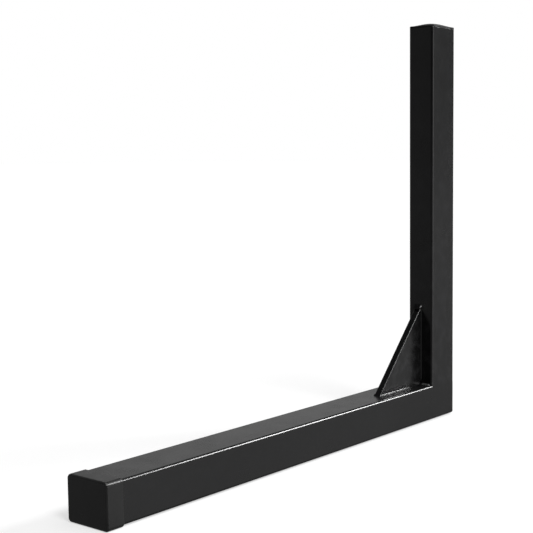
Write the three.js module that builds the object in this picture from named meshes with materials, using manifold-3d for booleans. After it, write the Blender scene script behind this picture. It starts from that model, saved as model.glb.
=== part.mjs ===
// Welded L-shaped bracket of steel tube: a base arm that lies on the ground, a narrower upright that
// stands on its far end, a triangular gusset in the inner corner, and plastic closures on both ends.
// Millimetres, +Z up. X runs along the base arm, from the cap (-X) to the upright (+X).
// The origin is at the middle of the footprint, on the ground.

import * as THREE from "three";
import * as BufferGeometryUtils from "three/addons/utils/BufferGeometryUtils.js";
import Module from "manifold-3d";

const wasm = await Module();
wasm.setup();

// Driving dimensions
const OVERALL_LENGTH = 697;
const GAP = 0.3;
const TUBE_WALL = 2.5;
const TUBE_CORNER = 3.5;
const BASE_WIDTH = 60;
const BASE_HEIGHT = 50;
const UPRIGHT_DEPTH = 60;
const UPRIGHT_WIDTH = 40;
const UPRIGHT_TOP = 568;
const BASE_LENGTHS = 3;
const UPRIGHT_LENGTHS = 2;

const CAP_WALL = 1.6;
const CAP_END = 2.6;
const CAP_LENGTH = 24;
const CAP_CORNER = 5;
const CAP_EDGE = 3;

const END_PLATE = 6;
const END_EDGE = 3;
const SEAM_DEPTH = 1.5;
const SEAM_WIDTH = 2;

const PLUG_FLANGE = 2.2;
const PLUG_CROWN = 4.5;
const PLUG_EDGE = 3;
const PLUG_DEPTH = 22;
const PLUG_WALL = 2;
const PLUG_ROOF = 1;
const PLUG_SKIRT_CORNER = 1;
const PLUG_BORE_CORNER = 0.8;
const PLUG_FIN = 0.9;
const PLUG_FIN_CORNER = 1.5;
const PLUG_FIN_HEIGHT = 1.5;
const PLUG_FIN_PITCH = 5;
const PLUG_FIN_START = 2;
const PLUG_FINS = 4;

const GUSSET_THICKNESS = 10;
const GUSSET_SETBACK = 19;
const GUSSET_LENGTH = 105;
const GUSSET_HEIGHT = 112;
const GUSSET_NOSE = 2;
const GUSSET_SNIPE = 6;

const FOOT_LEG = 2.5;
const GUSSET_LEG = 2.2;
const TOE_LEG = 3;
const TIP_LEG = 6;
const BEAD_BULGE = 0.25;
const ARC_STEPS = 6;
const OVERCUT = 1;

// Places worked out from them
const FLOOR_Z = CAP_WALL;
const BASE_TOP = FLOOR_Z + BASE_HEIGHT;
const FRONT_Y = -BASE_WIDTH / 2;
const FAR_X = OVERALL_LENGTH / 2;
const NEAR_X = -FAR_X;
const INNER_X = FAR_X - UPRIGHT_DEPTH;
const UPRIGHT_BACK_Y = FRONT_Y + UPRIGHT_WIDTH;
const UPRIGHT_MID_X = FAR_X - UPRIGHT_DEPTH / 2;
const UPRIGHT_MID_Y = FRONT_Y + UPRIGHT_WIDTH / 2;
const BASE_MID_Z = FLOOR_Z + BASE_HEIGHT / 2;
const GUSSET_FRONT_Y = FRONT_Y + GUSSET_SETBACK;
const GUSSET_BACK_Y = GUSSET_FRONT_Y + GUSSET_THICKNESS;
const SEAM_X = FAR_X - END_PLATE;
const LARGE = 2 * OVERALL_LENGTH;

// Materials
const powderCoat = new THREE.MeshStandardMaterial({ color: 0x1b1b1c, roughness: 0.42, metalness: 0.15 });
const weldCoat = new THREE.MeshStandardMaterial({ color: 0x1a1a1b, roughness: 0.38, metalness: 0.15 });
const capPlastic = new THREE.MeshStandardMaterial({ color: 0x161616, roughness: 0.55, metalness: 0 });
const plugPlastic = new THREE.MeshStandardMaterial({ color: 0x1c1c1c, roughness: 0.3, metalness: 0 });

function toSolid(geometry) {
  const bare = geometry.clone();
  bare.deleteAttribute("normal");
  bare.deleteAttribute("uv");
  const merged = BufferGeometryUtils.mergeVertices(bare, 1e-4);
  const vertProperties = new Float32Array(merged.attributes.position.array);
  const triVerts = new Uint32Array(merged.index.array);
  return new wasm.Manifold(new wasm.Mesh({ numProp: 3, vertProperties, triVerts }));
}

function toGeometry(solid) {
  const mesh = solid.getMesh();
  const geometry = new THREE.BufferGeometry();
  geometry.setAttribute("position", new THREE.BufferAttribute(new Float32Array(mesh.vertProperties), 3));
  geometry.setIndex(new THREE.BufferAttribute(new Uint32Array(mesh.triVerts), 1));
  geometry.computeVertexNormals();
  return geometry;
}

// A rectangle with round corners, centred on the shape's origin
function roundRectangle(width, height, corner) {
  const w = width / 2 - corner;
  const h = height / 2 - corner;
  const shape = new THREE.Shape();
  shape.absarc(w, -h, corner, -Math.PI / 2, 0, false);
  shape.absarc(w, h, corner, 0, Math.PI / 2, false);
  shape.absarc(-w, h, corner, Math.PI / 2, Math.PI, false);
  shape.absarc(-w, -h, corner, Math.PI, 1.5 * Math.PI, false);
  shape.closePath();
  return shape;
}

// Extruded along +Z from zero, its sides divided into equal lengths
function prismZ(shape, length, lengths = 1) {
  return new THREE.ExtrudeGeometry(shape, {
    depth: length,
    steps: lengths,
    bevelEnabled: false,
    curveSegments: ARC_STEPS,
  });
}

// A bar along +X: the shape's x runs along Y and the shape's y along Z
function prismX(shape, startX, length, midY, midZ, lengths = 1) {
  const geometry = prismZ(shape, length, lengths);
  geometry.applyMatrix4(new THREE.Matrix4().set(0, 0, 1, startX, 1, 0, 0, midY, 0, 1, 0, midZ, 0, 0, 0, 1));
  return geometry;
}

function box(minX, minY, minZ, maxX, maxY, maxZ) {
  const geometry = new THREE.BoxGeometry(maxX - minX, maxY - minY, maxZ - minZ);
  geometry.translate((minX + maxX) / 2, (minY + maxY) / 2, (minZ + maxZ) / 2);
  return toSolid(geometry);
}

// A block with round corners in the YZ plane and round edges at the two X ends
function softBlockX(width, height, corner, edge, startX, length, midY, midZ) {
  const shape = roundRectangle(width - 2 * edge, height - 2 * edge, corner - edge);
  const geometry = new THREE.ExtrudeGeometry(shape, {
    depth: length - 2 * edge,
    bevelEnabled: true,
    bevelSize: edge,
    bevelThickness: edge,
    bevelSegments: ARC_STEPS,
    curveSegments: ARC_STEPS,
  });
  geometry.applyMatrix4(
    new THREE.Matrix4().set(0, 0, 1, startX + edge, 1, 0, 0, midY, 0, 1, 0, midZ, 0, 0, 0, 1),
  );
  return toSolid(geometry);
}

// The base arm's outer form, grown by a margin, with round edges at its far end
function baseForm(margin) {
  const width = BASE_WIDTH + 2 * margin;
  const height = BASE_HEIGHT + 2 * margin;
  const corner = TUBE_CORNER + margin;
  return softBlockX(width, height, corner, END_EDGE, NEAR_X, OVERALL_LENGTH + margin, 0, BASE_MID_Z);
}

// The base tube's outline, drawn smaller by an inset or, with a negative one, larger
function baseOutline(inset) {
  return roundRectangle(BASE_WIDTH - 2 * inset, BASE_HEIGHT - 2 * inset, TUBE_CORNER - inset);
}

// The base arm's tube. The middle one of its lengths is clear of the cap and of the gusset
function tubeX(startX, endX) {
  const length = endX - startX;
  const solid = toSolid(prismX(baseOutline(0), startX, length, 0, BASE_MID_Z, BASE_LENGTHS));
  const bore = prismX(baseOutline(TUBE_WALL), startX - OVERCUT, length + 2 * OVERCUT, 0, BASE_MID_Z);
  return solid.subtract(toSolid(bore));
}

// The groove round the seam between the base tube and its end plate
function seamRing(depth, halfWidth) {
  const ring = prismX(baseOutline(-OVERCUT), SEAM_X - halfWidth, 2 * halfWidth, 0, BASE_MID_Z);
  const coreHalf = halfWidth + OVERCUT;
  const core = prismX(baseOutline(depth), SEAM_X - coreHalf, 2 * coreHalf, 0, BASE_MID_Z);
  return toSolid(ring).subtract(toSolid(core));
}

function baseTube() {
  const solid = tubeX(NEAR_X + CAP_END + GAP, SEAM_X - GAP / 2);
  return solid.subtract(seamRing(SEAM_DEPTH, SEAM_WIDTH / 2 + GAP));
}

function baseEndPlate() {
  const cut = box(-LARGE, -LARGE, -LARGE, SEAM_X + GAP / 2, LARGE, LARGE);
  return baseForm(0).subtract(cut).subtract(seamRing(SEAM_DEPTH, SEAM_WIDTH / 2 + GAP));
}

function endPlateWeld() {
  const ring = prismX(baseOutline(0), SEAM_X - SEAM_WIDTH / 2, SEAM_WIDTH, 0, BASE_MID_Z);
  const core = prismX(baseOutline(SEAM_DEPTH - GAP), SEAM_X - SEAM_WIDTH, 2 * SEAM_WIDTH, 0, BASE_MID_Z);
  return toSolid(ring).subtract(toSolid(core));
}

function uprightPrism(inset, corner, bottom, top, lengths = 1) {
  const shape = roundRectangle(UPRIGHT_DEPTH - 2 * inset, UPRIGHT_WIDTH - 2 * inset, corner);
  const geometry = prismZ(shape, top - bottom, lengths);
  geometry.translate(UPRIGHT_MID_X, UPRIGHT_MID_Y, bottom);
  return toSolid(geometry);
}

// The upright's tube. The upper one of its lengths is clear of the gusset
function uprightTube() {
  const outer = uprightPrism(0, TUBE_CORNER, BASE_TOP + GAP, UPRIGHT_TOP, UPRIGHT_LENGTHS);
  const boreCorner = TUBE_CORNER - TUBE_WALL;
  const bore = uprightPrism(TUBE_WALL, boreCorner, BASE_TOP - OVERCUT, UPRIGHT_TOP + OVERCUT);
  return outer.subtract(bore);
}

// Weld that fills the round edge of the base arm under the upright's front and outer faces, ground flush
function footGrooveWeld() {
  const footprint = uprightPrism(0, TUBE_CORNER, BASE_TOP - TUBE_CORNER, BASE_TOP);
  const back = box(-LARGE, FRONT_Y + TUBE_CORNER - GAP, -LARGE, FAR_X - TUBE_CORNER + GAP, LARGE, LARGE);
  const behind = box(-LARGE, UPRIGHT_BACK_Y - TUBE_CORNER, -LARGE, LARGE, LARGE, LARGE);
  return footprint.subtract(baseForm(GAP)).subtract(back).subtract(behind);
}

// The end section of a fillet bead whose root is at the origin and whose legs run along +x and +y
function filletShape(leg) {
  const shape = new THREE.Shape();
  shape.moveTo(GAP, GAP);
  shape.lineTo(leg, GAP);
  const bulge = leg / 2 + BEAD_BULGE + GAP / 2;
  shape.quadraticCurveTo(bulge, bulge, GAP, leg);
  shape.closePath();
  return shape;
}

// A fillet bead between two faces. along, legA and legB are unit directions; legA x legB = along
function filletBead(leg, root, length, legA, legB) {
  const geometry = prismZ(filletShape(leg), length);
  const along = new THREE.Vector3().crossVectors(legA, legB);
  geometry.applyMatrix4(new THREE.Matrix4().makeBasis(legA, legB, along).setPosition(root));
  return toSolid(geometry);
}

const AXIS_Y = new THREE.Vector3(0, 1, 0);
const AXIS_Z = new THREE.Vector3(0, 0, 1);
const BACK_X = new THREE.Vector3(-1, 0, 0);
const BACK_Y = new THREE.Vector3(0, -1, 0);

function footInnerWeld() {
  const root = new THREE.Vector3(INNER_X, FRONT_Y + TUBE_CORNER, BASE_TOP);
  return filletBead(FOOT_LEG, root, UPRIGHT_WIDTH - 2 * TUBE_CORNER, BACK_X, AXIS_Z);
}

function footBackWeld() {
  const root = new THREE.Vector3(INNER_X + TUBE_CORNER, UPRIGHT_BACK_Y, BASE_TOP);
  return filletBead(FOOT_LEG, root, UPRIGHT_DEPTH - 2 * TUBE_CORNER, AXIS_Y, AXIS_Z);
}

// The gusset's outline in the XZ plane, with blunt noses and a snipe that clears the foot weld
function gussetPlate() {
  const shape = new THREE.Shape();
  shape.moveTo(-GUSSET_LENGTH, GAP);
  shape.lineTo(-GUSSET_SNIPE, GAP);
  shape.lineTo(-GAP, GUSSET_SNIPE);
  shape.lineTo(-GAP, GUSSET_HEIGHT);
  shape.lineTo(-GUSSET_NOSE, GUSSET_HEIGHT);
  shape.lineTo(-GUSSET_LENGTH, GUSSET_NOSE);
  shape.closePath();
  const geometry = prismZ(shape, GUSSET_THICKNESS);
  geometry.rotateX(Math.PI / 2);
  geometry.translate(INNER_X, GUSSET_BACK_Y, BASE_TOP);
  return toSolid(geometry);
}

// side is -1 for the front face of the gusset and 1 for its back face
function gussetBaseWeld(side) {
  const faceY = side > 0 ? GUSSET_BACK_Y : GUSSET_FRONT_Y;
  const length = GUSSET_LENGTH - GUSSET_SNIPE - GAP;
  const startX = side > 0 ? INNER_X - GUSSET_LENGTH : INNER_X - GUSSET_SNIPE - GAP;
  const root = new THREE.Vector3(startX, faceY, BASE_TOP);
  return filletBead(GUSSET_LEG, root, length, side > 0 ? AXIS_Y : BACK_Y, AXIS_Z);
}

function gussetUprightWeld(side) {
  const faceY = side > 0 ? GUSSET_BACK_Y : GUSSET_FRONT_Y;
  const length = GUSSET_HEIGHT - GUSSET_SNIPE - GAP;
  const root = new THREE.Vector3(INNER_X, faceY, BASE_TOP + GUSSET_SNIPE + GAP);
  const sideways = side > 0 ? AXIS_Y : BACK_Y;
  return side > 0
    ? filletBead(GUSSET_LEG, root, length, sideways, BACK_X)
    : filletBead(GUSSET_LEG, root, length, BACK_X, sideways);
}

// Short beads that close the weld round the gusset's two noses
function gussetToeWeld() {
  const root = new THREE.Vector3(INNER_X - GUSSET_LENGTH, GUSSET_FRONT_Y, BASE_TOP);
  return filletBead(TOE_LEG, root, GUSSET_THICKNESS, BACK_X, AXIS_Z);
}

function gussetTipWeld() {
  const root = new THREE.Vector3(INNER_X, GUSSET_BACK_Y, BASE_TOP + GUSSET_HEIGHT);
  return filletBead(TIP_LEG, root, GUSSET_THICKNESS, AXIS_Z, BACK_X);
}

// Plastic cap that slips over the base arm's free end, open towards +X
function baseEndCap() {
  const width = BASE_WIDTH + 2 * CAP_WALL;
  const height = BASE_HEIGHT + 2 * CAP_WALL;
  const length = CAP_LENGTH + CAP_EDGE;
  const block = softBlockX(width, height, CAP_CORNER, CAP_EDGE, NEAR_X, length, 0, BASE_MID_Z);
  const trim = box(NEAR_X + CAP_LENGTH, -LARGE, -LARGE, LARGE, LARGE, LARGE);
  const hollow = toSolid(prismX(baseOutline(-GAP), NEAR_X + CAP_END, 2 * CAP_LENGTH, 0, BASE_MID_Z));
  return block.subtract(trim).subtract(hollow);
}

// Plastic plug in the upright's top: a crowned head on a finned skirt, open downwards
function uprightTopPlug() {
  const seat = UPRIGHT_TOP + GAP;
  const depth = UPRIGHT_DEPTH - 2 * PLUG_EDGE;
  const width = UPRIGHT_WIDTH - 2 * PLUG_EDGE;
  const shape = roundRectangle(depth, width, TUBE_CORNER - PLUG_EDGE);
  const head = new THREE.ExtrudeGeometry(shape, {
    depth: PLUG_FLANGE,
    bevelEnabled: true,
    bevelSize: PLUG_EDGE,
    bevelThickness: PLUG_CROWN,
    bevelSegments: ARC_STEPS,
    curveSegments: ARC_STEPS,
  });
  head.translate(UPRIGHT_MID_X, UPRIGHT_MID_Y, seat);
  const below = box(-LARGE, -LARGE, -LARGE, LARGE, LARGE, seat);
  const skirtInset = TUBE_WALL + GAP + PLUG_FIN;
  let plug = toSolid(head).subtract(below);
  plug = plug.add(uprightPrism(skirtInset, PLUG_SKIRT_CORNER, seat - PLUG_DEPTH, seat + PLUG_FLANGE));
  for (let i = 0; i < PLUG_FINS; i++) {
    const bottom = seat - PLUG_DEPTH + PLUG_FIN_START + i * PLUG_FIN_PITCH;
    plug = plug.add(uprightPrism(TUBE_WALL + GAP, PLUG_FIN_CORNER, bottom, bottom + PLUG_FIN_HEIGHT));
  }
  const boreInset = skirtInset + PLUG_WALL;
  const boreBottom = seat - 2 * PLUG_DEPTH;
  return plug.subtract(uprightPrism(boreInset, PLUG_BORE_CORNER, boreBottom, seat - PLUG_ROOF));
}

function part(name, solid, material) {
  const mesh = new THREE.Mesh(toGeometry(solid), material);
  mesh.name = name;
  return mesh;
}

const bracket = new THREE.Group();
bracket.add(part("base_tube", baseTube(), powderCoat));
bracket.add(part("base_end_plate", baseEndPlate(), powderCoat));
bracket.add(part("end_plate_weld", endPlateWeld(), weldCoat));
bracket.add(part("upright_tube", uprightTube(), powderCoat));
bracket.add(part("foot_groove_weld", footGrooveWeld(), weldCoat));
bracket.add(part("foot_inner_weld", footInnerWeld(), weldCoat));
bracket.add(part("foot_back_weld", footBackWeld(), weldCoat));
bracket.add(part("gusset_plate", gussetPlate(), powderCoat));
bracket.add(part("gusset_base_weld_front", gussetBaseWeld(-1), weldCoat));
bracket.add(part("gusset_base_weld_back", gussetBaseWeld(1), weldCoat));
bracket.add(part("gusset_upright_weld_front", gussetUprightWeld(-1), weldCoat));
bracket.add(part("gusset_upright_weld_back", gussetUprightWeld(1), weldCoat));
bracket.add(part("gusset_toe_weld", gussetToeWeld(), weldCoat));
bracket.add(part("gusset_tip_weld", gussetTipWeld(), weldCoat));
bracket.add(part("base_end_cap", baseEndCap(), capPlastic));
bracket.add(part("upright_top_plug", uprightTopPlug(), plugPlastic));

export default bracket;
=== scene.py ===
"""Looks for a welded L-shaped bracket of black powder-coated steel tube, in metres, in the CAD frame."""

import math

import bmesh
import bpy
from mathutils import Matrix, Vector, noise


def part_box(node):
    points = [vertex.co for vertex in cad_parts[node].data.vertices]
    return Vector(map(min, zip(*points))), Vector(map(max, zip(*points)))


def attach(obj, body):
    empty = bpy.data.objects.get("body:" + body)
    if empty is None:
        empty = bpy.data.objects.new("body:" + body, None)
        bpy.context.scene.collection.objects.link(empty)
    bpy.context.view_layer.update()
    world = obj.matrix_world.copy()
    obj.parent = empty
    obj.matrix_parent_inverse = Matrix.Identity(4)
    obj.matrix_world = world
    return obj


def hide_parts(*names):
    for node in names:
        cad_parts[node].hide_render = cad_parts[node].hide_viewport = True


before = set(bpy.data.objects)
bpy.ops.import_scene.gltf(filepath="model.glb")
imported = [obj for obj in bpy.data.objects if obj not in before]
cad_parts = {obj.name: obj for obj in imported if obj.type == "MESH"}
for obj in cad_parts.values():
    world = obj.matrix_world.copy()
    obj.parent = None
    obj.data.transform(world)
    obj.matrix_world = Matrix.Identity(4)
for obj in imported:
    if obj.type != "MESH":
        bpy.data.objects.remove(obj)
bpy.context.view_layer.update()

MM = 0.001
BODY = "root"

# Sizes that the bracket's pieces share
TUBE_WALL = 2.5 * MM
TUBE_CORNER = 3.5 * MM
CUT_EDGE = 0.4 * MM
SEAM_DEPTH = 1.2 * MM
CORNER_STEPS = 14
SIDE_STEPS = 8
CAP_CORNER = 5 * MM
CAP_EDGE = 3 * MM
CAP_LIP = 0.8 * MM
CAP_POCKET_GAP = 0.05 * MM
END_EDGE = 3 * MM
GUSSET_NOSE = 2 * MM
GUSSET_SNIPE = 6 * MM
GUSSET_EDGE = 1.9 * MM
TOE_LEG = 2.6 * MM
TIP_LEG = 6.5 * MM
BEAD_LEG = 1.3 * MM
FOOT_LEG = 2.6 * MM
BEAD_STEP = 0.5 * MM
BEAD_SWELL = 0.12 * MM
SECTION_STEPS = 8
SHARP_ANGLE = math.radians(40)
LEAST_CORNER = 0.8 * MM
HAIRLINE = 0.02 * MM
WELD_END_SHARE = 0.3
SAME_WAY = 0.99

# A fillet bead's section and its small unevenness
BEAD_ROOT_IN = 0.3 * MM
BEAD_ROOT_DOWN = 0.2 * MM
BEAD_HOLLOW = 1.25
RIPPLE = 0.006 * MM
RIPPLE_PITCH = 1.6 * MM
WANDER = 0.03 * MM
WANDER_RATE = 130
FADE_STEPS = 6
FADE_FLOOR = 0.15

# The cap's and the plug's own small sizes
CAP_END_WALL = 2.6 * MM
CAP_MOUTH_BEVEL = 0.1 * MM
CAP_MOUTH_DEPTH = 0.3 * MM
CAP_LEAST_CORNER = 0.5 * MM
EDGE_RINGS = 12
LIP_RINGS = 6
END_FACE_SCALES = (0.02, 0.35, 0.7, 0.9)
PLUG_SEAT_GAP = 0.05 * MM
PLUG_RIM = 1.6 * MM
PLUG_EDGE = 0.9 * MM
PLUG_EDGE_RINGS = 8
CROWN_RINGS = 12
CROWN_START = 0.2
FIN_COUNT = 4
FIN_PITCH = 5 * MM
FIN_START = 4 * MM
FIN_SLOPE = 0.3 * MM
FIN_HEIGHT = 1.5 * MM
SKIRT_INSET = TUBE_WALL + 1.2 * MM
FIN_INSET = TUBE_WALL + 0.3 * MM
SKIRT_INSIDE = TUBE_WALL + 3.2 * MM

# Colours (dark, light), roughness (low, high) and the depth of each surface's texture
STEEL_COLOURS = ((0.004, 0.004, 0.0042), (0.008, 0.008, 0.0082))
STEEL_ROUGHNESS = (0.22, 0.28)
STEEL_PEEL = 0.005 * MM
WELD_ROUGHNESS = (0.20, 0.26)
WELD_PEEL = 0.008 * MM
WORN = (0.022, 0.022, 0.023)
CAP_COLOURS = ((0.012, 0.012, 0.012), (0.018, 0.018, 0.018))
CAP_ROUGHNESS = (0.27, 0.33)
PLUG_COLOURS = ((0.02, 0.02, 0.02), (0.027, 0.027, 0.027))
PLUG_ROUGHNESS = (0.42, 0.48)
PLASTIC_TEXTURE = 0.01 * MM
COAT_IOR = 1.5
GRAIN_SHARE = 0.35
GRAIN_DEPTH = 0.22
WEAR_FROM, WEAR_TO = 0.53, 0.62
WEAR_MOST = 0.8
PLASTIC_IOR = 1.46
CAP_SPECULAR = 0.5
PLUG_SPECULAR = 0.15

# The span that most of the noise's values lie in, and noise sizes in cells per metre
NOISE_LOW, NOISE_HIGH = 0.3, 0.7
COAT_PATCH = 9.0
COAT_GRAIN = 2600.0
COAT_SMUDGE = 34.0
COAT_PEEL = 520.0
WEAR_PATCH = 75.0
PLASTIC_FLOW = 22.0
PLASTIC_PATCH = 60.0
PLASTIC_PITS = 1500.0

# The floor, in metres, and its tone
FLOOR_REACH = 60.0
FLOOR_TONE = (0.33, 0.33, 0.33, 1)
FLOOR_GLOW = 0.6
WHITE = (1, 1, 1, 1)

# The camera: its place from the base arm's front lower corner, its angles in degrees and its lens in mm
CAMERA_OFFSET = Vector((-0.7795, -0.8728, 0.3862))
CAMERA_YAW, CAMERA_PITCH, CAMERA_ROLL = (math.radians(a) for a in (50.086, 5.499, -0.685))
CAMERA_LENS = 77.42
SENSOR_WIDTH = 36

# How often a light's rays may bounce, unless it counts direct light only
MANY_BOUNCES = 8

# Places taken from the frame
TUBE_LOW, TUBE_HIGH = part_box("base_tube")
UPRIGHT_LOW, UPRIGHT_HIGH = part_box("upright_tube")
CAP_LOW, CAP_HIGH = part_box("base_end_cap")
PLATE_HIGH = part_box("base_end_plate")[1]
SEAM_LOW, SEAM_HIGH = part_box("end_plate_weld")
PLUG_LOW, PLUG_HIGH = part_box("upright_top_plug")
GUSSET_LOW, GUSSET_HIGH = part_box("gusset_plate")
BASE_TOP = TUBE_HIGH.z
INNER_X = UPRIGHT_LOW.x
TUBE_MID = (TUBE_LOW + TUBE_HIGH) / 2
UPRIGHT_MID = (UPRIGHT_LOW + UPRIGHT_HIGH) / 2
BASE_WIDTH = TUBE_HIGH.y - TUBE_LOW.y
BASE_HEIGHT = TUBE_HIGH.z - TUBE_LOW.z
UPRIGHT_DEPTH = UPRIGHT_HIGH.x - UPRIGHT_LOW.x
UPRIGHT_WIDTH = UPRIGHT_HIGH.y - UPRIGHT_LOW.y


# Mesh helpers

def outline(width, height, corner):
    """Points of a rectangle with round corners and divided sides, counter-clockwise, centred on zero."""
    points = []
    for quarter, (sx, sy) in enumerate(((1, -1), (1, 1), (-1, 1), (-1, -1))):
        centre_x = sx * (width / 2 - corner)
        centre_y = sy * (height / 2 - corner)
        for i in range(CORNER_STEPS + 1):
            angle = math.pi / 2 * (quarter - 1 + i / CORNER_STEPS)
            points.append((centre_x + corner * math.cos(angle), centre_y + corner * math.sin(angle)))
        turn_x, turn_y = math.cos(math.pi / 2 * quarter), math.sin(math.pi / 2 * quarter)
        side = (height if quarter % 2 == 0 else width) - 2 * corner
        last_x, last_y = points[-1]
        for i in range(1, SIDE_STEPS):
            along = side * i / SIDE_STEPS
            points.append((last_x - turn_y * along, last_y + turn_x * along))
    return points


def base_ring(x, inset, least_corner=0.0):
    """The base tube's outline at one x, drawn smaller by an inset."""
    corner = max(TUBE_CORNER - inset, least_corner)
    return ring_x(x, TUBE_MID, BASE_WIDTH - 2 * inset, BASE_HEIGHT - 2 * inset, corner)


def upright_ring(z, inset, least_corner=0.0):
    """The upright's outline at one z, drawn smaller by an inset."""
    corner = max(TUBE_CORNER - inset, least_corner)
    return ring_z(z, UPRIGHT_MID, UPRIGHT_DEPTH - 2 * inset, UPRIGHT_WIDTH - 2 * inset, corner)


def ring_x(x, middle, width, height, corner):
    """An outline in the YZ plane at one x."""
    return [Vector((x, middle.y + a, middle.z + b)) for a, b in outline(width, height, corner)]


def ring_z(z, middle, width, height, corner):
    """An outline in the XY plane at one z."""
    return [Vector((middle.x + a, middle.y + b, z)) for a, b in outline(width, height, corner)]


def mesh_object(name, bm, material, replaces):
    """Turns a bmesh into a piece that rides on the bracket and stands for its CAD nodes."""
    bmesh.ops.remove_doubles(bm, verts=bm.verts, dist=1e-7)
    bmesh.ops.dissolve_degenerate(bm, edges=bm.edges, dist=1e-7)
    bmesh.ops.recalc_face_normals(bm, faces=bm.faces)
    mesh = bpy.data.meshes.new(name)
    bm.to_mesh(mesh)
    bm.free()
    for polygon in mesh.polygons:
        polygon.use_smooth = True
    mesh.set_sharp_from_angle(angle=SHARP_ANGLE)
    piece = bpy.data.objects.new(name, mesh)
    bpy.context.scene.collection.objects.link(piece)
    weighted = piece.modifiers.new("weighted_normals", "WEIGHTED_NORMAL")
    weighted.keep_sharp = True
    weighted.weight = 80
    mesh.materials.append(material)
    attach(piece, BODY)
    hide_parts(*replaces)


def skin(rings, loop=False, close_ends=True):
    """Quads between rings of equal length. loop joins the last ring to the first."""
    bm = bmesh.new()
    rows = [[bm.verts.new(p) for p in ring] for ring in rings]
    count = len(rows[0])
    pairs = list(zip(rows, rows[1:]))
    if loop:
        pairs.append((rows[-1], rows[0]))
    for near, far in pairs:
        for i in range(count):
            j = (i + 1) % count
            bm.faces.new((near[i], near[j], far[j], far[i]))
    if close_ends and not loop:
        bm.faces.new(rows[0])
        bm.faces.new(rows[-1])
    return bm


def wall_profile(start, end, wall, edge, steps=4):
    """(position, inset) pairs round a tube wall's section, with round cut edges."""
    quarter = [math.pi / 2 * i / steps for i in range(steps + 1)]
    outer_end = [(end - edge + edge * math.sin(a), edge - edge * math.cos(a)) for a in quarter]
    inner_end = [(end - edge + edge * math.cos(a), wall - edge + edge * math.sin(a)) for a in quarter]
    inner_start = [(start + edge - edge * math.sin(a), wall - edge + edge * math.cos(a)) for a in quarter]
    outer_start = [(start + edge - edge * math.cos(a), edge - edge * math.sin(a)) for a in quarter]
    return outer_end + inner_end + inner_start + outer_start


# Materials

def new_material(name):
    """A node material, its tree and its shader."""
    material = bpy.data.materials.new(name)
    material.use_nodes = True
    tree = material.node_tree
    return material, tree, tree.nodes["Principled BSDF"]


def add(tree, kind, **values):
    """Makes a node and sets its inputs and properties by name."""
    node = tree.nodes.new(kind)
    for key, value in values.items():
        socket = node.inputs.get(key.replace("_", " "))
        if socket is not None:
            socket.default_value = value
        else:
            setattr(node, key, value)
    return node


def object_noise(tree, scale, detail, roughness):
    """3-D noise in the object's own space, so it runs on across pieces."""
    place = tree.nodes.get("place") or add(tree, "ShaderNodeTexCoord", name="place")
    node = add(tree, "ShaderNodeTexNoise", Scale=scale, Detail=detail, Roughness=roughness)
    tree.links.new(place.outputs["Object"], node.inputs["Vector"])
    return node


def remap(tree, source, low, high, from_low=0.0, from_high=1.0):
    """Maps a value's range to low...high."""
    node = tree.nodes.new("ShaderNodeMapRange")
    node.inputs["From Min"].default_value = from_low
    node.inputs["From Max"].default_value = from_high
    node.inputs["To Min"].default_value = low
    node.inputs["To Max"].default_value = high
    tree.links.new(source, node.inputs["Value"])
    return node.outputs["Result"]


def mix_colours(tree, factor, first, second):
    """Blends two fixed colours by a factor."""
    node = tree.nodes.new("ShaderNodeMix")
    node.data_type = "RGBA"
    node.inputs["A"].default_value = (*first, 1)
    node.inputs["B"].default_value = (*second, 1)
    tree.links.new(factor, node.inputs["Factor"])
    return node.outputs["Result"]


def bump(tree, height, distance, strength, under=None):
    """A bump from a height, on top of another one if there is one."""
    node = add(tree, "ShaderNodeBump", Distance=distance, Strength=strength)
    tree.links.new(height, node.inputs["Height"])
    if under is not None:
        tree.links.new(under, node.inputs["Normal"])
    return node.outputs["Normal"]


def edge_wear(tree, colour, shader):
    """Lightens the coat where handling has rubbed the convex edges."""
    geometry = add(tree, "ShaderNodeNewGeometry")
    rub = remap(tree, geometry.outputs["Pointiness"], 0.0, 1.0, WEAR_FROM, WEAR_TO)
    patch = object_noise(tree, WEAR_PATCH, 3.0, 0.6)
    amount = tree.nodes.new("ShaderNodeMath")
    amount.operation = "MULTIPLY"
    tree.links.new(rub, amount.inputs[0])
    tree.links.new(remap(tree, patch.outputs["Fac"], 0.0, WEAR_MOST, 0.45, 0.7), amount.inputs[1])
    mix = tree.nodes.new("ShaderNodeMix")
    mix.data_type = "RGBA"
    tree.links.new(amount.outputs[0], mix.inputs["Factor"])
    tree.links.new(colour, mix.inputs["A"])
    mix.inputs["B"].default_value = (*WORN, 1)
    tree.links.new(mix.outputs["Result"], shader.inputs["Base Color"])


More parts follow.
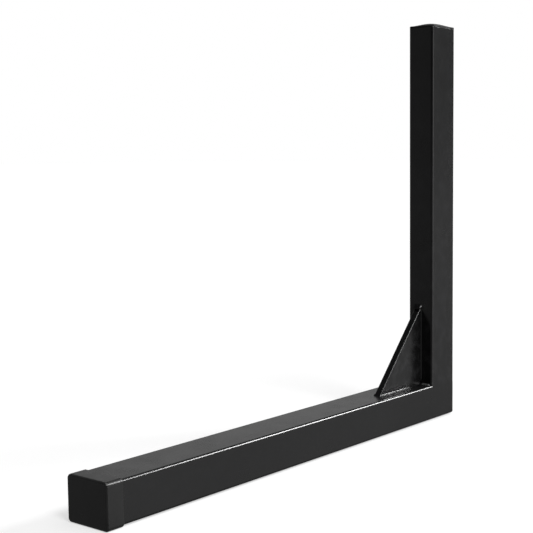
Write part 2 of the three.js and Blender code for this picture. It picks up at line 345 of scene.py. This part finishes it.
def powder_coat(name, colours, roughness, peel):
    """Black powder coat: orange peel, a fine speckle, and slow change of tone and gloss."""
    material, tree, shader = new_material(name)
    slow = object_noise(tree, COAT_PATCH, 3.0, 0.55)
    grain = object_noise(tree, COAT_GRAIN, 2.0, 0.5)
    tone = tree.nodes.new("ShaderNodeMath")
    tone.operation = "MULTIPLY_ADD"
    tree.links.new(grain.outputs["Fac"], tone.inputs[0])
    tone.inputs[1].default_value = GRAIN_SHARE
    slow_share = remap(tree, slow.outputs["Fac"], 0.0, 1 - GRAIN_SHARE, NOISE_LOW, NOISE_HIGH)
    tree.links.new(slow_share, tone.inputs[2])
    edge_wear(tree, mix_colours(tree, tone.outputs[0], *colours), shader)
    smudge = object_noise(tree, COAT_SMUDGE, 4.0, 0.6)
    gloss = remap(tree, smudge.outputs["Fac"], *roughness, NOISE_LOW, NOISE_HIGH)
    tree.links.new(gloss, shader.inputs["Roughness"])
    orange = object_noise(tree, COAT_PEEL, 2.0, 0.45)
    coarse = bump(tree, orange.outputs["Fac"], peel, 1.0)
    fine = bump(tree, grain.outputs["Fac"], peel * GRAIN_DEPTH, 1.0, coarse)
    tree.links.new(fine, shader.inputs["Normal"])
    shader.inputs["Metallic"].default_value = 0.0
    shader.inputs["IOR"].default_value = COAT_IOR
    return material


def moulded_plastic(name, colours, roughness, specular):
    """Moulded black plastic: a fine spark-eroded texture with faint flow marks."""
    material, tree, shader = new_material(name)
    flow = object_noise(tree, PLASTIC_FLOW, 3.0, 0.5)
    marks = remap(tree, flow.outputs["Fac"], 0.0, 1.0, NOISE_LOW, NOISE_HIGH)
    tree.links.new(mix_colours(tree, marks, *colours), shader.inputs["Base Color"])
    patch = object_noise(tree, PLASTIC_PATCH, 3.0, 0.6)
    gloss = remap(tree, patch.outputs["Fac"], *roughness, NOISE_LOW, NOISE_HIGH)
    tree.links.new(gloss, shader.inputs["Roughness"])
    pits = add(tree, "ShaderNodeTexVoronoi", Scale=PLASTIC_PITS)
    tree.links.new(tree.nodes["place"].outputs["Object"], pits.inputs["Vector"])
    tree.links.new(bump(tree, pits.outputs["Distance"], PLASTIC_TEXTURE, 0.7), shader.inputs["Normal"])
    shader.inputs["IOR"].default_value = PLASTIC_IOR
    shader.inputs["Specular IOR Level"].default_value = specular
    return material


steel = powder_coat("powder_coat", STEEL_COLOURS, STEEL_ROUGHNESS, STEEL_PEEL)
weld = powder_coat("powder_coat_weld", STEEL_COLOURS, WELD_ROUGHNESS, WELD_PEEL)
cap_plastic = moulded_plastic("cap_plastic", CAP_COLOURS, CAP_ROUGHNESS, CAP_SPECULAR)
plug_plastic = moulded_plastic("plug_plastic", PLUG_COLOURS, PLUG_ROUGHNESS, PLUG_SPECULAR)


# Pieces

def base_tube():
    """The base arm's wall, open at the cap's end and cut square at the end plate."""
    rings = [
        base_ring(x, inset, LEAST_CORNER)
        for x, inset in wall_profile(TUBE_LOW.x, SEAM_LOW.x, TUBE_WALL, HAIRLINE)
    ]
    mesh_object("base_arm_tube", skin(rings, loop=True), steel, ["base_tube"])


def end_plate_and_seam():
    """The end plate with its dressed edges, and the flush weld round its seam."""
    rings = [base_ring(SEAM_HIGH.x, 0)]
    for i in range(EDGE_RINGS + 1):
        angle = math.pi / 2 * i / EDGE_RINGS
        inset = END_EDGE * (1 - math.cos(angle))
        x = PLATE_HIGH.x - END_EDGE * (1 - math.sin(angle))
        rings.append(base_ring(x, inset))
    mesh_object("base_end_plate_dressed", skin(rings), steel, ["base_end_plate"])
    near, far = SEAM_LOW.x, SEAM_HIGH.x
    profile = ((near, 0), (far, 0), (far, SEAM_DEPTH), (near, SEAM_DEPTH))
    rings = [base_ring(x, inset) for x, inset in profile]
    mesh_object("end_plate_seam", skin(rings, loop=True), weld, ["end_plate_weld"])


def upright_tube():
    """The upright's wall. Its foot is cut square, so that it meets the flush weld with no line."""
    profile = wall_profile(BASE_TOP, UPRIGHT_HIGH.z, TUBE_WALL, CUT_EDGE)
    half = len(profile) // 2
    profile = profile[:half] + [(BASE_TOP, TUBE_WALL), (BASE_TOP, 0)]
    rings = [upright_ring(z, inset, LEAST_CORNER) for z, inset in profile]
    mesh_object("upright_post", skin(rings, loop=True), steel, ["upright_tube"])


def foot_groove_weld():
    """The flush weld that fills the base arm's round edge under the upright's front and outer faces."""
    half_depth, half_width = UPRIGHT_DEPTH / 2, UPRIGHT_WIDTH / 2
    reach = TUBE_CORNER * WELD_END_SHARE
    path = [
        (a, b) for a, b in outline(UPRIGHT_DEPTH, UPRIGHT_WIDTH, TUBE_CORNER)
        if b < reach - half_width or (a > half_depth - reach and b < half_width - TUBE_CORNER)
    ]
    first = min(range(len(path)), key=lambda i: path[i][0])
    path = path[first:] + path[:first]
    path.append((half_depth, half_width - TUBE_CORNER))
    rings = []
    for a, b in path:
        outer = Vector((UPRIGHT_MID.x + a, UPRIGHT_MID.y + b, 0))
        inward = Vector((-1 if a > half_depth - TUBE_CORNER else 0, 1 if b < 0 else 0, 0))
        inward = inward.normalized() if inward.length else Vector((0, 1, 0))
        ring = [outer + Vector((0, 0, BASE_TOP - TUBE_CORNER)), outer + Vector((0, 0, BASE_TOP))]
        for i in range(CORNER_STEPS + 1):
            # The hidden side follows the base arm's arc from its top down.
            angle = math.pi / 2 * (1 - i / CORNER_STEPS)
            depth = TUBE_CORNER * (1 - math.cos(angle))
            z = BASE_TOP - TUBE_CORNER * (1 - math.sin(angle)) - HAIRLINE
            ring.append(outer + inward * depth + Vector((0, 0, z)))
        rings.append(ring)
    mesh_object("foot_flush_weld", skin(rings), weld, ["foot_groove_weld"])


def swept_bead(name, path, height_axis, seed, replaces):
    """A fillet bead along a path of (point, outward normal, leg) steps, with soft weld ripples."""
    count = len(path)
    rings = []
    travelled = 0.0
    for k, (point, outward, leg) in enumerate(path):
        if k:
            before, normal, _ = path[k - 1]
            travelled += (point - before).length + leg * (outward - normal).length * 0.5
        fade = min(1.0, min(k, count - 1 - k) / FADE_STEPS + FADE_FLOOR)
        ripple = RIPPLE * math.sin(2 * math.pi * travelled / RIPPLE_PITCH)
        wander = [
            WANDER * noise.noise(Vector((travelled * WANDER_RATE, seed + row, 0))) for row in (0, 7)
        ]
        reach_out = (leg + wander[0] + ripple * 0.5) * fade
        reach_up = (leg + wander[1]) * fade
        ring = [point - outward * BEAD_ROOT_IN - height_axis * BEAD_ROOT_DOWN]
        for i in range(SECTION_STEPS + 1):
            t = i / SECTION_STEPS
            out = reach_out * (1 - t) ** BEAD_HOLLOW
            up = reach_up * t ** BEAD_HOLLOW
            swell = (BEAD_SWELL * leg / BEAD_LEG + ripple) * math.sin(math.pi * t) * fade
            direction = (outward + height_axis).normalized()
            ring.append(point + outward * out + height_axis * up + direction * swell)
        rings.append(ring)
    mesh_object(name, skin(rings), weld, replaces)


def straight(start, end, outward, leg):
    """Path steps on a straight face, with one outward normal and one leg."""
    count = max(2, round((end - start).length / BEAD_STEP))
    return [(start.lerp(end, i / count), outward.copy(), leg) for i in range(count + 1)]


def turn(point, first, second, leg, end_leg, steps=10):
    """Path steps that fan round a corner while the leg changes."""
    return [
        (point.copy(), first.slerp(second, i / steps), leg + (end_leg - leg) * i / steps)
        for i in range(1, steps)
    ]


def gusset_plate():
    """The gusset with its cut edges dressed round."""
    left, right = GUSSET_LOW.x, INNER_X
    low, high = BASE_TOP, GUSSET_HIGH.z
    corners = (
        (left, low), (right - GUSSET_SNIPE, low), (right, low + GUSSET_SNIPE),
        (right, high), (right - GUSSET_NOSE, high), (left, low + GUSSET_NOSE),
    )
    bm = bmesh.new()
    front = [bm.verts.new((x, GUSSET_LOW.y, z)) for x, z in corners]
    back = [bm.verts.new((x, GUSSET_HIGH.y, z)) for x, z in corners]
    bm.faces.new(front)
    bm.faces.new(list(reversed(back)))
    for i in range(len(corners)):
        j = (i + 1) % len(corners)
        bm.faces.new((front[j], front[i], back[i], back[j]))
    slope = Vector((-(high - low - GUSSET_NOSE), 0, right - GUSSET_NOSE - left)).normalized()
    bm.normal_update()
    edges = [
        edge for edge in bm.edges
        if any(abs(face.normal.dot(slope)) > SAME_WAY for face in edge.link_faces)
    ]
    bmesh.ops.bevel(
        bm, geom=edges, offset=GUSSET_EDGE, segments=6, profile=0.5, affect="EDGES", clamp_overlap=True,
    )
    mesh_object("gusset_web", bm, steel, ["gusset_plate"])


def gusset_beads():
    """One weld runs round the gusset's foot on the base arm, and one round its edge on the upright."""
    front, back = Vector((0, -1, 0)), Vector((0, 1, 0))
    left, up = Vector((-1, 0, 0)), Vector((0, 0, 1))
    near_y, far_y = GUSSET_LOW.y, GUSSET_HIGH.y
    start_x, toe_x = INNER_X - GUSSET_SNIPE, GUSSET_LOW.x
    near, far = Vector((toe_x, near_y, BASE_TOP)), Vector((toe_x, far_y, BASE_TOP))
    path = straight(Vector((start_x, near_y, BASE_TOP)), near, front, BEAD_LEG)
    path += turn(near, front, left, BEAD_LEG, TOE_LEG)
    path += straight(near, far, left, TOE_LEG)
    path += turn(far, left, back, TOE_LEG, BEAD_LEG)
    path += straight(far, Vector((start_x, far_y, BASE_TOP)), back, BEAD_LEG)
    swept_bead(
        "gusset_foot_bead", path, up, 1.0,
        ["gusset_base_weld_front", "gusset_base_weld_back", "gusset_toe_weld"],
    )
    start_z, tip_z = BASE_TOP + GUSSET_SNIPE, GUSSET_HIGH.z
    near, far = Vector((INNER_X, near_y, tip_z)), Vector((INNER_X, far_y, tip_z))
    path = straight(Vector((INNER_X, near_y, start_z)), near, front, BEAD_LEG)
    path += turn(near, front, up, BEAD_LEG, TIP_LEG)
    path += straight(near, far, up, TIP_LEG)
    path += turn(far, up, back, TIP_LEG, BEAD_LEG)
    path += straight(far, Vector((INNER_X, far_y, start_z)), back, BEAD_LEG)
    swept_bead(
        "gusset_side_bead", path, left, 3.0,
        ["gusset_upright_weld_front", "gusset_upright_weld_back", "gusset_tip_weld"],
    )


def foot_beads():
    """The fillets that show at the upright's foot: in the inner corner and on the ledge behind it."""
    up = Vector((0, 0, 1))
    low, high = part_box("foot_inner_weld")
    start, end = Vector((INNER_X, low.y, BASE_TOP)), Vector((INNER_X, high.y, BASE_TOP))
    path = straight(start, end, Vector((-1, 0, 0)), FOOT_LEG)
    swept_bead("foot_inner_bead", path, up, 5.0, ["foot_inner_weld"])
    low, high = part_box("foot_back_weld")
    ledge_y = UPRIGHT_HIGH.y
    start, end = Vector((low.x, ledge_y, BASE_TOP)), Vector((high.x, ledge_y, BASE_TOP))
    path = straight(start, end, Vector((0, 1, 0)), FOOT_LEG)
    swept_bead("foot_back_bead", path, up, 9.0, ["foot_back_weld"])


def end_cap():
    """Slip-over cap: a soft-edged box, open towards the tube, with a rounded lip."""
    middle = (CAP_LOW + CAP_HIGH) / 2
    width, height = CAP_HIGH.y - CAP_LOW.y, CAP_HIGH.z - CAP_LOW.z
    wall = (width - BASE_WIDTH) / 2 - CAP_POCKET_GAP

    def cap_ring(x, inset, scale=1.0):
        corner = max(CAP_CORNER - inset, CAP_LEAST_CORNER)
        w, h = width - 2 * inset, height - 2 * inset
        return ring_x(x, middle, w * scale, h * scale, corner * scale)

    rings = [cap_ring(CAP_LOW.x, CAP_EDGE, scale) for scale in END_FACE_SCALES]
    for i in range(EDGE_RINGS + 1):
        angle = math.pi / 2 * i / EDGE_RINGS
        x = CAP_LOW.x + CAP_EDGE * (1 - math.cos(angle))
        rings.append(cap_ring(x, CAP_EDGE * (1 - math.sin(angle))))
    for i in range(LIP_RINGS + 1):
        angle = math.pi / 2 * i / LIP_RINGS
        x = CAP_HIGH.x - CAP_LIP * (1 - math.sin(angle))
        rings.append(cap_ring(x, CAP_LIP * (1 - math.cos(angle))))
    rings.append(cap_ring(CAP_HIGH.x, wall - CAP_MOUTH_BEVEL))
    rings.append(cap_ring(CAP_HIGH.x - CAP_MOUTH_DEPTH, wall))
    rings.append(cap_ring(CAP_LOW.x + CAP_END_WALL, wall))
    mesh_object("slip_over_cap", skin(rings), cap_plastic, ["base_end_cap"])


def crown_rings(shoulder):
    """Rings of the plug's smooth crown, from its middle out to its edge."""
    rise = PLUG_HIGH.z - shoulder
    half_x, half_y = UPRIGHT_DEPTH / 2 - PLUG_EDGE, UPRIGHT_WIDTH / 2 - PLUG_EDGE
    rings = []
    for i in range(CROWN_RINGS):
        scale = (i + CROWN_START) / CROWN_RINGS
        corner = (TUBE_CORNER - PLUG_EDGE) * scale
        ring = ring_z(shoulder, UPRIGHT_MID, 2 * half_x * scale, 2 * half_y * scale, corner)
        for point in ring:
            across = (point.x - UPRIGHT_MID.x) / half_x
            along = (point.y - UPRIGHT_MID.y) / half_y
            point.z += rise * (1 - across ** 2) * (1 - along ** 2)
        rings.append(ring)
    return rings


def skirt_profile(seat):
    """(height, inset) pairs down the plug's finned skirt and up its inside."""
    profile = [(seat, SKIRT_INSET)]
    for i in range(FIN_COUNT):
        top = seat - FIN_START - i * FIN_PITCH
        low = top - FIN_HEIGHT
        profile += [(top, SKIRT_INSET), (top - FIN_SLOPE, FIN_INSET)]
        profile += [(low + FIN_SLOPE, FIN_INSET), (low, SKIRT_INSET)]
    return profile + [(PLUG_LOW.z, SKIRT_INSET), (PLUG_LOW.z, SKIRT_INSIDE), (seat, SKIRT_INSIDE)]


def top_plug():
    """Crowned head and finned skirt, as one moulding that is open below."""
    seat = UPRIGHT_HIGH.z + PLUG_SEAT_GAP
    rings = crown_rings(seat + PLUG_RIM + PLUG_EDGE)
    for i in range(PLUG_EDGE_RINGS + 1):
        angle = math.pi / 2 * i / PLUG_EDGE_RINGS
        z = seat + PLUG_RIM + PLUG_EDGE * math.cos(angle)
        rings.append(upright_ring(z, PLUG_EDGE * (1 - math.sin(angle))))
    rings.append(upright_ring(seat, 0))
    rings += [upright_ring(z, inset, LEAST_CORNER) for z, inset in skirt_profile(seat)]
    mesh_object("crowned_plug", skin(rings), plug_plastic, ["upright_top_plug"])


base_tube()
end_plate_and_seam()
upright_tube()
foot_groove_weld()
gusset_plate()
gusset_beads()
foot_beads()
end_cap()
top_plug()


# Stage: a pale floor, soft light and the camera

def floor():
    """A wide white ground that takes shadows and neither blocks nor reflects the lights."""
    bm = bmesh.new()
    corners = ((-1, -1), (1, -1), (1, 1), (-1, 1))
    bm.faces.new([bm.verts.new((x * FLOOR_REACH, y * FLOOR_REACH, 0)) for x, y in corners])
    mesh = bpy.data.meshes.new("floor")
    bm.to_mesh(mesh)
    bm.free()
    ground = bpy.data.objects.new("floor", mesh)
    bpy.context.scene.collection.objects.link(ground)
    material, tree, shader = new_material("floor_white")
    shader.inputs["Base Color"].default_value = FLOOR_TONE
    shader.inputs["Roughness"].default_value = 0.9
    shader.inputs["Specular IOR Level"].default_value = 0.0
    shader.inputs["Emission Color"].default_value = WHITE
    shader.inputs["Emission Strength"].default_value = FLOOR_GLOW
    mesh.materials.append(material)
    ground.visible_glossy = False
    ground.visible_diffuse = False
    ground.visible_shadow = False


def sun(name, towards, strength, spread, bounces=MANY_BOUNCES):
    """A soft light at infinity. towards points from the object to the light; spread is in degrees."""
    data = bpy.data.lights.new(name, "SUN")
    data.cycles.max_bounces = bounces
    data.energy = strength
    data.angle = math.radians(spread)
    light = bpy.data.objects.new(name, data)
    light.rotation_mode = "QUATERNION"
    light.rotation_quaternion = Vector(towards).to_track_quat("Z", "Y")
    bpy.context.scene.collection.objects.link(light)


def camera():
    """Stands off the base arm's free end, at the front, and lower than the upright's top."""
    yaw, pitch, roll = CAMERA_YAW, CAMERA_PITCH, CAMERA_ROLL
    forward = Vector((math.sin(yaw) * math.cos(pitch), math.cos(yaw) * math.cos(pitch), -math.sin(pitch)))
    level = Vector((math.cos(yaw), -math.sin(yaw), 0))
    upward = level.cross(forward)
    right = math.cos(roll) * level + math.sin(roll) * upward
    up = -math.sin(roll) * level + math.cos(roll) * upward
    data = bpy.data.cameras.new("camera")
    data.sensor_width = SENSOR_WIDTH
    data.lens = CAMERA_LENS
    eye = bpy.data.objects.new("camera", data)
    corner = Vector((CAP_LOW.x, TUBE_LOW.y, TUBE_LOW.z))
    rotation = Matrix((right, up, -forward)).transposed()
    eye.matrix_world = Matrix.Translation(corner + CAMERA_OFFSET) @ rotation.to_4x4()
    bpy.context.scene.collection.objects.link(eye)
    bpy.context.scene.camera = eye


def surroundings():
    """A white world that only the camera sees."""
    world = bpy.data.worlds.new("studio")
    world.use_nodes = True
    background = world.node_tree.nodes["Background"]
    background.inputs["Color"].default_value = WHITE
    background.inputs["Strength"].default_value = 1.0
    world.cycles_visibility.diffuse = False
    world.cycles_visibility.glossy = False
    bpy.context.scene.world = world
    bpy.context.scene.view_settings.view_transform = "Standard"


floor()

# Each light: the way to it, its strength and its spread. The first two draw the bright edges.
sun("edge_key", (0.76, -0.42, 0.49), 2.6, 16, bounces=0)
sun("gusset_key", (-0.165, -0.63, 0.753), 1.8, 20, bounces=0)
sun("overhead", (0.15, -0.25, 0.95), 1.5, 60)
sun("horizon", (0.74, 0.63, 0.23), 0.058, 24)
sun("front_bounce", (0.615, -0.78, -0.04), 0.135, 44)
sun("front_card", (0.15, -0.98, 0.0), 0.40, 30)
sun("side_card", (0.97, 0.1, 0.05), 0.35, 30)
sun("rear_card", (0.2, 0.97, 0.10), 0.25, 50)
sun("back_card", (-0.76, 0.64, 0.10), 0.03, 24)
sun("floor_bounce", (0.0, 0.0, -1.0), 0.55, 178)
sun("dome", (0.0, 0.0, 1.0), 0.05, 178)
camera()
surroundings()
